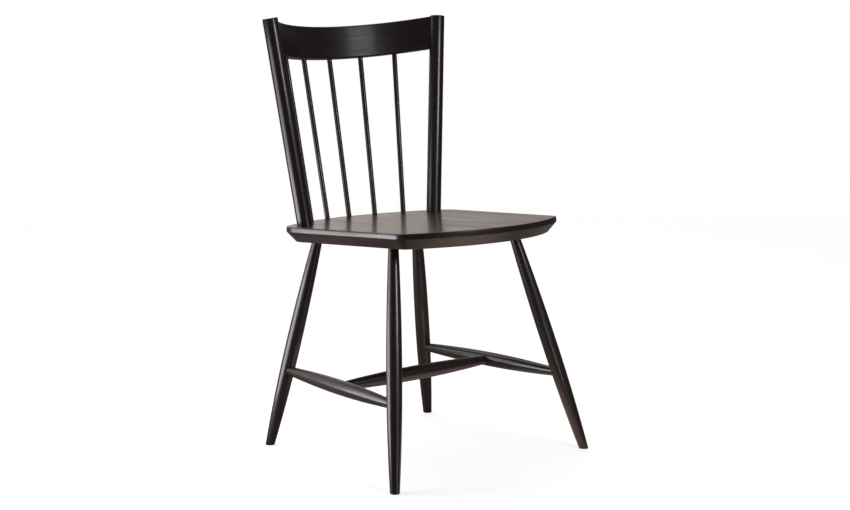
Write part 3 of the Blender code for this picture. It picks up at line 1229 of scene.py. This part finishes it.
@dataclass(frozen=True)
class Studio:
    """A white floor and backdrop, and the lamps."""

    floor_size: float = 60.0
    floor_colour: Triple = (0.62, 0.60, 0.59)
    floor_in_gloss: Triple = (0.34, 0.28, 0.26)
    near_glow: float = 0.67
    far_glow: float = 0.93
    near: float = 0.3
    far: float = 5.0
    # Painted bounce light: the floor glows warm in a disc under the chair for all rays but the camera's.
    bounce: float = 0.95
    bounce_middle: Triple = (0.11, -0.26, 0.0)
    bounce_reach: Pair = (0.10, 0.36)
    bounce_colour: Triple = (1.0, 0.74, 0.66)
    behind: Triple = (0.087, 0.996, 0.0)
    behind_glow: float = 0.86
    front_glow: float = 0.08
    spread: Pair = (0.66, 0.85)
    backdrop_colour: Triple = (1.0, 0.88, 0.84)
    lamps: tuple[Softbox, ...] = (
        Softbox("side_box", (-0.8, 0.38, 0.26), (-0.2, 0.02, 0.26), 0.64, 0.36, 2.35, (1.0, 0.95, 1.0), 110),
        Softbox("side_high", (-0.8, 0.36, 0.58), (-0.2, 0.02, 0.58), 0.6, 0.24, 0.75, (1.0, 0.95, 1.0), 110),
        Softbox("front_strip", (0.12, -1.75, 0.86), (0.0, 0.0, 0.60), 0.16, 0.36, 1.6, (1.0, 0.96, 0.99)),
        Softbox("front_box", (0.32, -1.75, 1.08), (0.0, 0.0, 0.80), 0.48, 0.36, 8.0, (1.0, 0.97, 1.0)),
        Softbox("front_high", (0.30, -1.75, 1.75), (0.0, 0.0, 0.80), 0.9, 0.6, 3.0, (1.0, 0.96, 0.96)),
        Softbox("front_low", (-0.09, -0.98, 0.19), (0.20, -0.20, 0.19), 0.09, 0.22, 0.33, (1.0, 0.95, 0.95)),
        Softbox("back_box", (-1.2, 1.5, 1.35), (0.0, 0.0, 0.3), 0.7, 0.5, 4.5, (0.86, 0.94, 1.0)),
        Softbox("top_box", (0.4, 1.0, 2.7), (0.2, 0.3, 0.0), 2.6, 2.2, 34.0, (0.97, 0.98, 1.0)),
    )

    def lay_floor(self) -> None:
        """Lays the pale floor, which the camera sees as white with the chair's faint shadow.

        For other rays it glows in a small disc under the chair and nowhere else: painted bounce light, warm,
        which lights the chair's underside and legs and shows in their reflections.
        """
        floor = add_plane("floor", self.floor_size, Vector())
        material, sheet, shader = new_material("white_paper")
        seen = sheet.add("ShaderNodeLightPath", {}).outputs["Is Camera Ray"]
        where = sheet.add("ShaderNodeTexCoord", {}).outputs["Object"]
        from_middle = sheet.vector("LENGTH", where)
        from_bounce = sheet.vector("DISTANCE", where, self.bounce_middle)
        ramp = sheet.remap(from_middle, (self.near, self.far), (self.near_glow, self.far_glow))
        # Painted bounce light: a glowing disc on the floor under the chair, which the camera doesn't see.
        bounce = sheet.remap(from_bounce, self.bounce_reach, (self.bounce, 0.0))
        feeds = {
            "Base Color": sheet.mix(seen, self.floor_in_gloss, self.floor_colour),
            "Roughness": 1.0,
            "Specular IOR Level": 0.0,
            "Emission Color": sheet.mix(seen, self.bounce_colour, WHITE),
            "Emission Strength": sheet.add("ShaderNodeMix", {0: seen, 2: bounce, 3: ramp}).outputs[0],
        }
        sheet.feed(shader, feeds)
        floor.data.materials.append(material)

    def raise_backdrop(self) -> None:
        """Makes the surroundings white to the camera, and otherwise bright behind the chair."""
        world = bpy.data.worlds.new("backdrop")
        bpy.context.scene.world = world
        world.use_nodes = True
        world.node_tree.nodes.clear()
        sheet = Sheet(world.node_tree)
        direction = sheet.add("ShaderNodeTexCoord", {}).outputs["Generated"]
        facing = sheet.vector("DOT_PRODUCT", direction, self.behind)
        falloff = sheet.remap(facing, self.spread, (self.front_glow, self.behind_glow))
        around = {"Color": (*self.backdrop_colour, 1.0), "Strength": falloff}
        feeds = {
            0: sheet.add("ShaderNodeLightPath", {}).outputs["Is Camera Ray"],
            1: sheet.add("ShaderNodeBackground", around).outputs[0],
            2: sheet.add("ShaderNodeBackground", {"Color": (*WHITE, 1.0)}).outputs[0],
        }
        mixed = sheet.add("ShaderNodeMixShader", feeds).outputs[0]
        sheet.add("ShaderNodeOutputWorld", {"Surface": mixed})

    def set_up(self) -> None:
        """Lays the floor, raises the backdrop, hangs the lamps and sets the plain view transform."""
        self.lay_floor()
        self.raise_backdrop()
        for lamp in self.lamps:
            lamp.hang()
        bpy.context.scene.view_settings.view_transform = "Standard"


@dataclass(frozen=True)
class Viewpoint:
    """The photograph's camera, which stands off from the middle of the four feet."""

    stand_off: Triple = (-2.21445, -2.56651, 0.8947)
    pitch: float = math.radians(81.4104)
    heading: float = math.radians(-40.9723)
    lens: float = 75.17
    sensor_width: float = 36.0

    def set_up(self, legs: Legs) -> None:
        """Adds the camera.

        Args:
            legs: the legs, whose feet it stands off from.
        """
        feet = [line.at_height(0.0) for line in legs.lines.values()]
        middle = sum(feet, Vector()) / len(feet)
        data = bpy.data.cameras.new("camera")
        data.lens = self.lens
        data.sensor_width = self.sensor_width
        data.sensor_fit = "HORIZONTAL"
        camera = bpy.data.objects.new("camera", data)
        bpy.context.scene.collection.objects.link(camera)
        camera.location = middle + Vector(self.stand_off)
        camera.rotation_euler = (self.pitch, 0.0, self.heading)
        bpy.context.scene.camera = camera


def main() -> None:
    """Builds the chair, the studio and the camera."""
    logging.basicConfig(level=logging.INFO, format="%(name)s: %(message)s")
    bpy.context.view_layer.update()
    shop = Workshop()
    seat, legs, stretchers = Seat(), Legs(), Stretchers()
    posts, spindles, dowels = Posts(), Spindles(), Dowels()
    tenons = [(line, legs.tenon) for line in legs.lines.values()]
    seat.fit(shop, tenons + posts.sockets() + spindles.holes())
    legs.fit(shop, stretchers.lines, stretchers.end)
    stretchers.fit(shop)
    posts.fit(shop, seat.frame(), dowels)
    CrestRail(posts).fit(shop, spindles, dowels)
    spindles.fit(shop)
    dowels.fit()
    Studio().set_up()
    Viewpoint().set_up(legs)


if __name__ == "__main__":
    main()
